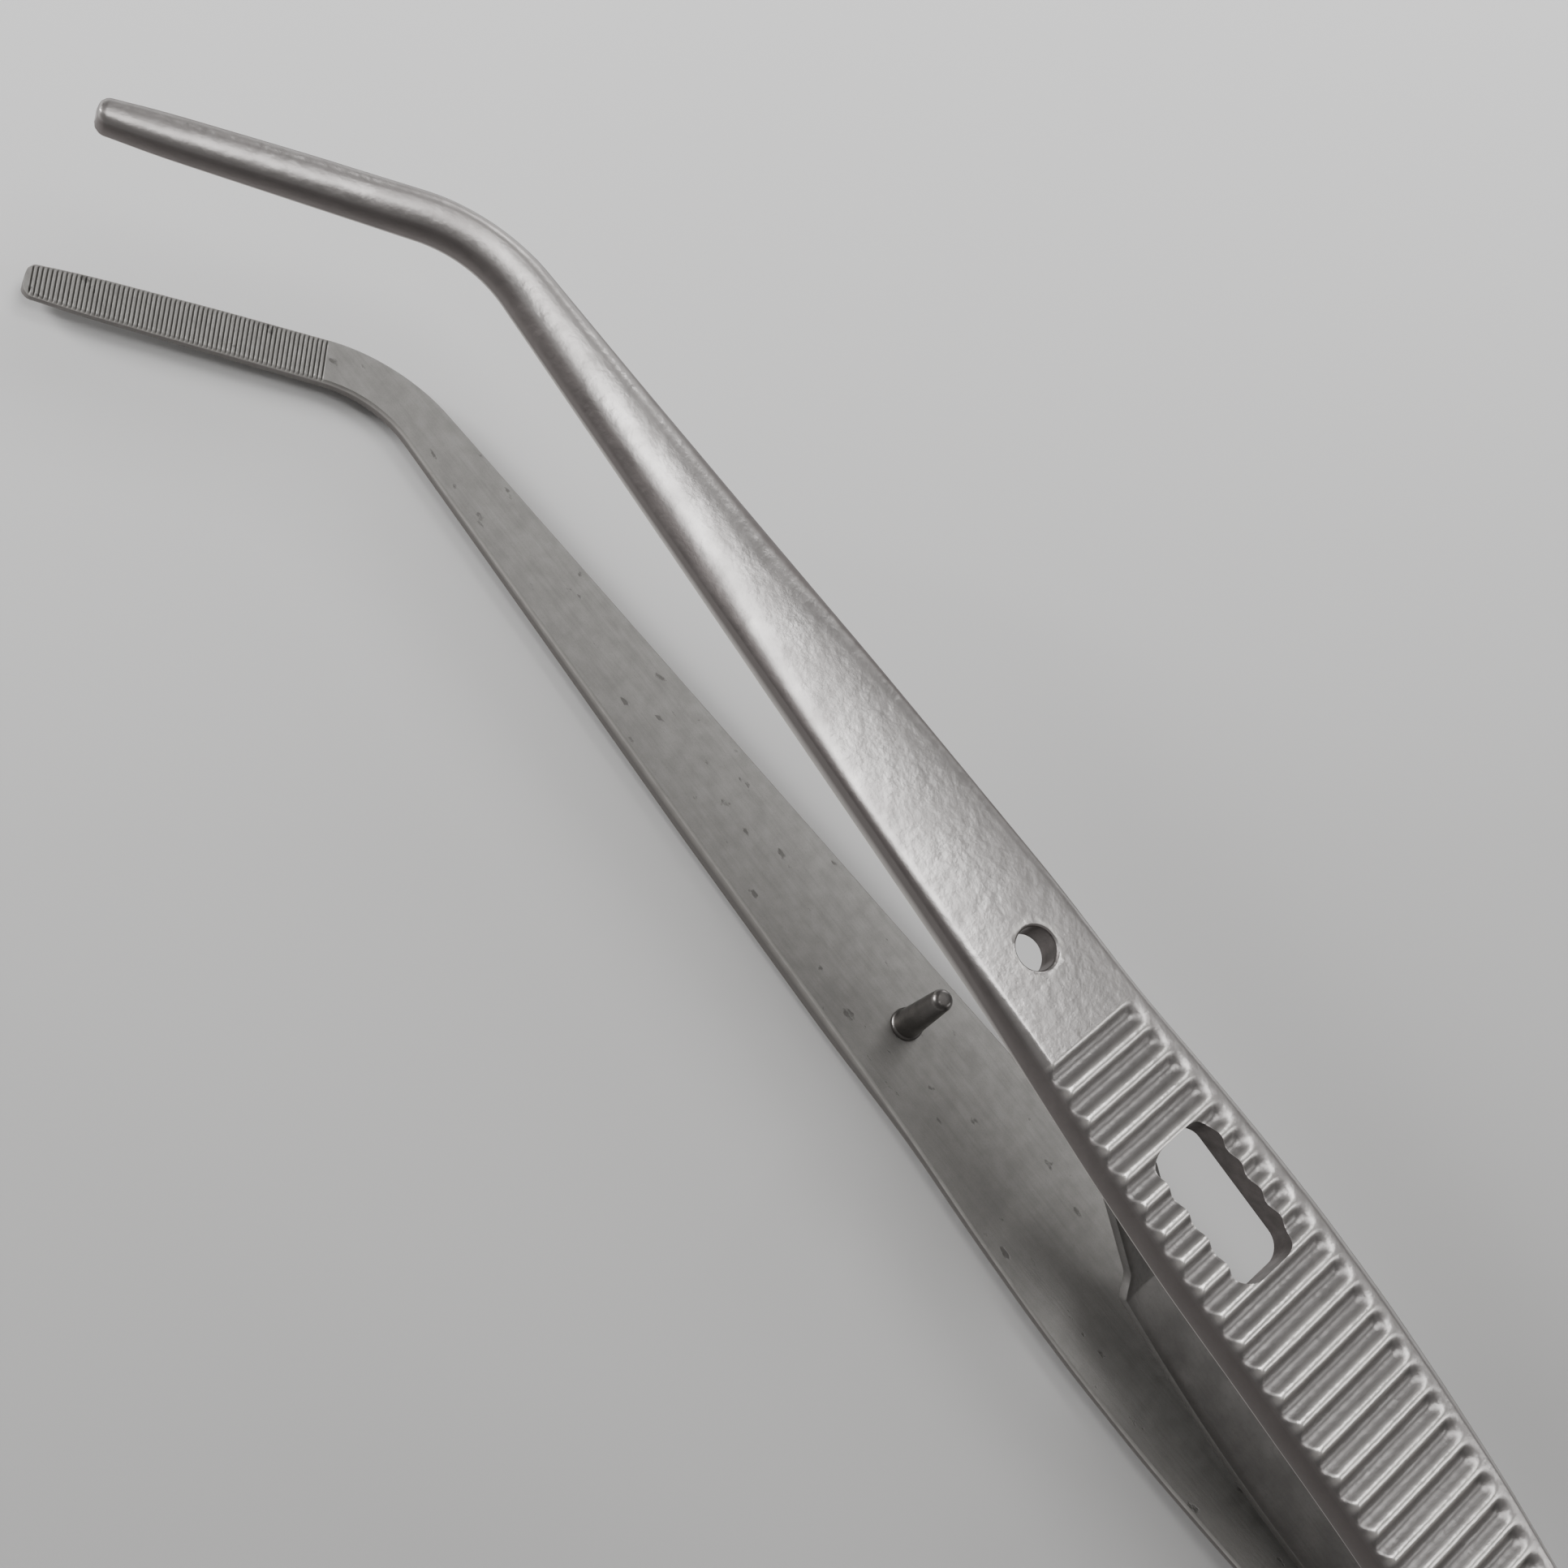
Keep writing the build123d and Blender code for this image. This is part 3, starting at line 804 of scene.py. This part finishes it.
def steel(name, light, dark, rough, mottle=420.0, mottle_share=0.6, grain=9000.0, grain_depth=0.008,
          brush=0.0, pits=0.0, dents=0.0, wear_highlight_colour=None, recess_dark=0.45, flank_dark=None):
    """A metal with mottled colour, uneven roughness and fine blasted grain. Brushing, dents and pits are
    added where asked for. Where wear_highlight_colour is given, the mesh's wear_and_highlight, recess and
    flank change it too: a partly painted highlight, and painted shade in the grooves, the tooth gaps, on
    the flanks and over the tip."""
    material = bpy.data.materials.new(name)
    material.use_nodes = True
    nodes, links = material.node_tree.nodes, material.node_tree.links
    shader = nodes["Principled BSDF"]
    shader.inputs["Metallic"].default_value = 1.0
    places = nodes.new("ShaderNodeTexCoord").outputs["Object"]

    def cloud(scale, detail, stretch=(1, 1, 1)):
        """Soft random patches."""
        moved = nodes.new("ShaderNodeMapping")
        moved.inputs["Scale"].default_value = stretch
        links.new(places, moved.inputs["Vector"])
        texture = nodes.new("ShaderNodeTexNoise")
        texture.inputs["Scale"].default_value = scale
        texture.inputs["Detail"].default_value = detail
        links.new(moved.outputs["Vector"], texture.inputs["Vector"])
        return texture.outputs["Fac"]

    def ranged(value, low, high, new_low, new_high):
        """A value with the range low to high stretched onto another range."""
        node = nodes.new("ShaderNodeMapRange")
        labels = ("From Min", "From Max", "To Min", "To Max")
        for label, number in zip(labels, (low, high, new_low, new_high)):
            node.inputs[label].default_value = number
        links.new(value, node.inputs["Value"])
        return node.outputs["Result"]

    def mixed(share, first_colour, second_colour):
        """The second colour laid over the first by a share."""
        node = nodes.new("ShaderNodeMix")
        node.data_type = "RGBA"
        links.new(share, node.inputs["Factor"])
        for label, colour in (("A", first_colour), ("B", second_colour)):
            socket = [s for s in node.inputs if s.name == label and s.type == "RGBA"][0]
            if isinstance(colour, tuple):
                socket.default_value = (*colour, 1)
            else:
                links.new(colour, socket)
        return [s for s in node.outputs if s.type == "RGBA"][0]

    def arithmetic(kind, first_value, second_value):
        """Two values added, subtracted or multiplied."""
        node = nodes.new("ShaderNodeMath")
        node.operation = kind
        for socket, value in zip(node.inputs, (first_value, second_value)):
            if isinstance(value, float):
                socket.default_value = value
            else:
                links.new(value, socket)
        return node.outputs["Value"]

    def kept(label):
        """A finish value that the mesh carries."""
        node = nodes.new("ShaderNodeAttribute")
        node.attribute_name = label
        return node.outputs["Fac"]

    patches = cloud(mottle, 4.0)
    colour = mixed(ranged(patches, 0.35, 0.65, 0.0, mottle_share), light, dark)
    speckle = cloud(mottle * speckles_per_mottle, 2.0)
    colour = mixed(ranged(speckle, 0.52, 0.75, 0.0, 0.4), colour, dark)
    roughness = ranged(patches, 0.3, 0.7, rough - 0.04, rough + 0.05)
    height = cloud(grain, 2.0)
    if brush:
        lines = cloud(brush_scale, 2.0, along_the_arm)
        height = arithmetic("ADD", height, arithmetic("MULTIPLY", lines, brush))
        colour = mixed(ranged(lines, 0.45, 0.72, 0.0, 0.35), colour, dark)
    if dents:
        height = arithmetic("ADD", height, arithmetic("MULTIPLY", cloud(dent_scale, 2.0), dents))
    if pits:
        pit = ranged(cloud(pit_scale, 4.0, slightly_long), 0.66, 0.7, 0.0, 1.0)
        height = arithmetic("SUBTRACT", height, arithmetic("MULTIPLY", pit, pits))
        colour = mixed(arithmetic("MULTIPLY", pit, pit_tint), colour, pit_colour)
    if wear_highlight_colour:
        recess = kept("recess")
        # Recess darkens the colour: painted shade in the grooves and between the teeth, and a dull weld
        # spot.
        colour = mixed(arithmetic("MULTIPLY", recess, recess_dark), colour, tuple(c * 0.3 for c in dark))
        # Flank darkening: painted shade on the side walls and over the tip, with the walls' own rougher
        # finish.
        colour = mixed(kept("flank"), colour, flank_dark)
        # Painted highlight: crests, bevel and hole rim are lightened, partly for real polish.
        worn_and_lit = arithmetic("MULTIPLY", kept("wear_and_highlight"), ranged(patches, 0.3, 0.7, 0.55, 1.0))
        colour = mixed(worn_and_lit, colour, wear_highlight_colour)
        roughness = arithmetic("SUBTRACT", roughness, arithmetic("MULTIPLY", worn_and_lit, 0.04))
        roughness = arithmetic("ADD", roughness, arithmetic("MULTIPLY", recess, 0.06))
        roughness = arithmetic("ADD", roughness, arithmetic("MULTIPLY", kept("flank"), 0.12))
    bump = nodes.new("ShaderNodeBump")
    bump.inputs["Strength"].default_value = bump_strength
    bump.inputs["Distance"].default_value = grain_depth * mm
    links.new(height, bump.inputs["Height"])
    links.new(bump.outputs["Normal"], shader.inputs["Normal"])
    links.new(colour, shader.inputs["Base Color"])
    links.new(roughness, shader.inputs["Roughness"])
    print("finish", name)
    return material


# %% Give each piece its finish
outer_finish = steel("blasted_steel", (0.53, 0.51, 0.498), (0.41, 0.39, 0.381), 0.35, dents=7.0,
                     wear_highlight_colour=(0.9, 0.87, 0.83), flank_dark=(0.19, 0.173, 0.168), recess_dark=0.68)
wall_shade_finish = steel("sheared_and_shaded_steel", (0.22, 0.2, 0.195), (0.14, 0.13, 0.125), 0.45, mottle=1200.0)
inner_finish = steel("matt_inner_steel", (0.3, 0.292, 0.28), (0.225, 0.219, 0.209), 0.56, mottle=1100.0,
                     mottle_share=0.25, brush=1.8, pits=3.0, wear_highlight_colour=(0.6, 0.58, 0.55),
                     flank_dark=(0.22, 0.208, 0.2), recess_dark=0.6)
# The strip's dark colour is painted shade: it stands for the upper arm's shadow over the catch.
strip_finish = steel("spring_strip_steel", (0.22, 0.213, 0.205), (0.16, 0.155, 0.149), 0.5, brush=0.4)
turned_finish = steel("turned_steel", (0.2, 0.19, 0.183), (0.11, 0.105, 0.1), 0.34, mottle=900.0)
weld_finish = steel("fused_steel", (0.36, 0.345, 0.33), (0.2, 0.185, 0.175), 0.5, mottle=1500.0,
                    grain=4000.0, grain_depth=0.03)
for piece, finish in ((upper_arm, outer_finish), (lower_arm, inner_finish), (catch_strip, strip_finish),
                      (guide_pin, turned_finish), (catch_rivets, turned_finish), (heel_weld, weld_finish)):
    piece.data.materials.clear()
    piece.data.materials.append(finish)

# The walls of the hole and the window are sheared, not blasted, and get a darker finish of their own:
# painted shade for the dark insides of the hole and the window.
upper_arm.data.materials.append(wall_shade_finish)
back_to_lower = reflect.inverted()
steepest_face = 0.5
hole_slack = 0.05
window_slack = 0.02
walls = 0
for face in upper_arm.data.polygons:
    place = back_to_lower @ face.center / mm
    upright = abs(face.normal.dot(mid_normal)) < steepest_face
    in_hole = (place.x - pin_x) ** 2 + place.y**2 < (hole_radius + hole_slack) ** 2
    in_length = abs(place.x - window_x) < window_length / 2 + window_slack
    in_window = in_length and abs(place.y) < window_width / 2 + window_slack
    if upright and (in_hole or in_window):
        face.material_index = 1
        walls += 1
print(walls, "faces on the walls of the hole and the window")

# %% [markdown]
# ## Floor, light and camera
#
# The pair lies on a plain floor whose colour fades from grey to almost white: a painted fall-off of light
# across the floor. Brushed and blasted metal needs large soft lights, so their reflections are broad bands
# instead of spots. A narrow panel overhead lights the crowns, and a weak one behind the grip lights the
# ridges' rear sides. Two low ones stand further off: one on the far side, and a strong one ahead on the
# open side. The camera looks down on the open side of the pair, and is rolled so the tips point up and to
# the left.

# %% Floor
floor_size = 3.0
floor_gap = 0.02 * mm
floor_roughness = 0.9
resting_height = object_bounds()[0].z
floor_mesh = bpy.data.meshes.new("floor")
floor_corners = [(floor_size * x, floor_size * y, 0) for x, y in ((-1, -1), (1, -1), (1, 1), (-1, 1))]
floor_mesh.from_pydata(floor_corners, [], [(0, 1, 2, 3)])
floor = put_in_scene("floor", floor_mesh)
floor.location.z = resting_height - floor_gap
pale = bpy.data.materials.new("pale_floor")
pale.use_nodes = True
# The floor's colour is painted light: grey on one side, fading to almost white on the other.
fade_from = Vector((0.03, 0.0, 0.0))
fade_way = Vector((0.83, -0.56, 0.0))
fade_rows = ((-0.07, (0.36, 0.357, 0.353)), (0.0, (0.6, 0.597, 0.593)), (0.07, (0.97, 0.97, 0.97)))
pale_nodes, pale_links = pale.node_tree.nodes, pale.node_tree.links
floor_places = pale_nodes.new("ShaderNodeTexCoord").outputs["Object"]
along = pale_nodes.new("ShaderNodeVectorMath")
along.operation = "DOT_PRODUCT"
pale_links.new(floor_places, along.inputs[0])
along.inputs[1].default_value = fade_way
spread = pale_nodes.new("ShaderNodeMapRange")
spread.inputs["From Min"].default_value = fade_from.dot(fade_way) + fade_rows[0][0]
spread.inputs["From Max"].default_value = fade_from.dot(fade_way) + fade_rows[-1][0]
pale_links.new(along.outputs["Value"], spread.inputs["Value"])
ramp = pale_nodes.new("ShaderNodeValToRGB")
for (place, shade), share in zip(fade_rows, (0.0, 0.5, 1.0)):
    stop = ramp.color_ramp.elements[0] if share == 0 else ramp.color_ramp.elements.new(share)
    stop.color = (*shade, 1)
# A new ramp comes with a stop at its far end, which isn't needed.
ramp.color_ramp.elements.remove(ramp.color_ramp.elements[-1])
pale_links.new(spread.outputs["Result"], ramp.inputs["Fac"])
pale_links.new(ramp.outputs["Color"], pale_nodes["Principled BSDF"].inputs["Base Color"])
pale_nodes["Principled BSDF"].inputs["Roughness"].default_value = floor_roughness
floor_mesh.materials.append(pale)

# %% Lights
centre = (Vector(cad_box[0]) + Vector(cad_box[1])) / 2


def softbox(name, direction, distance, width, height, power):
    """A rectangular soft light that faces the pair from a direction."""
    lamp = bpy.data.lights.new(name, "AREA")
    lamp.shape, lamp.size, lamp.size_y, lamp.energy = "RECTANGLE", width, height, power
    made = put_in_scene(name, lamp)
    way = Vector(direction).normalized()
    made.location = centre + way * distance
    made.rotation_euler = (-way).to_track_quat("-Z", "Y").to_euler()
    print(name, power, "W")


softbox("overhead_panel", (0.03, -0.1, 1.0), 0.9, 0.34, 0.72, 4.6)
softbox("rear_panel", (-0.66, -0.5, 0.58), 0.9, 0.26, 0.3, 0.8)
softbox("far_floor_panel", (0.35, -0.95, 0.36), 1.5, 0.5, 0.3, 4.0)
softbox("open_side_panel", (0.85, 0.45, 0.38), 1.5, 0.5, 0.3, 20.0)
world = bpy.data.worlds.new("studio")
bpy.context.scene.world = world
world.use_nodes = True
surroundings = world.node_tree.nodes["Background"]
surroundings.inputs["Color"].default_value = (1.0, 0.98, 0.97, 1)
surroundings.inputs["Strength"].default_value = 0.22

# %% Camera
camera_place = Vector((0.02313, 0.10039, 0.18277))
camera_look = Vector((0.0391, -0.4990, -0.8657)).normalized()
camera_right = Vector((-0.6204, -0.6913, 0.3704))
camera_right = (camera_right - camera_look * camera_right.dot(camera_look)).normalized()
camera_up = camera_right.cross(camera_look)
lens = bpy.data.cameras.new("camera")
lens.lens = 77.3
lens.sensor_width = 36.0
lens.clip_start = 0.01
camera = put_in_scene("camera", lens)
turn = Matrix((camera_right, camera_up, -camera_look)).transposed()
camera.matrix_world = Matrix.Translation(camera_place) @ turn.to_4x4()
bpy.context.scene.camera = camera
print("camera at", [round(v, 3) for v in camera_place])
